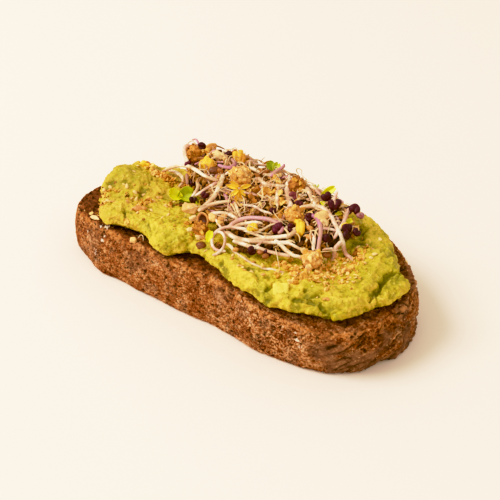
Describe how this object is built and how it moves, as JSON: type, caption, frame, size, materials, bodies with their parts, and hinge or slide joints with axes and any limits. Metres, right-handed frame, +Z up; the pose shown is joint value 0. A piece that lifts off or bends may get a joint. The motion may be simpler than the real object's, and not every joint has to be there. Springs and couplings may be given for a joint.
{
  "type": "avocado toast",
  "caption": "Open sandwich: a thick D-shaped slice of dark rye bread with mashed avocado and a heap of sprouts, crumbs and crunchy clusters.",
  "frame": {"origin": "middle of the slice's flat underside", "axes": "+X along the slice towards its wide end, +Y towards its domed side, +Z up"},
  "size_m": [0.155, 0.0781, 0.0468],
  "materials": {
    "crust": "matte, porous dark rye crust",
    "mash": "moist, softly glossy mashed avocado",
    "sprouts": "satin sprout stems over toasted crumbs",
    "cluster": "matte baked crumb"
  },
  "bodies": {
    "root": {"bread": "crust", "avocado_mash": "mash", "sprout_heap": "sprouts", "cluster_crest": "cluster", "cluster_left": "cluster", "cluster_back": "cluster", "cluster_middle": "cluster", "cluster_front": "cluster", "cluster_edge": "cluster"}
  },
  "joints": []
}
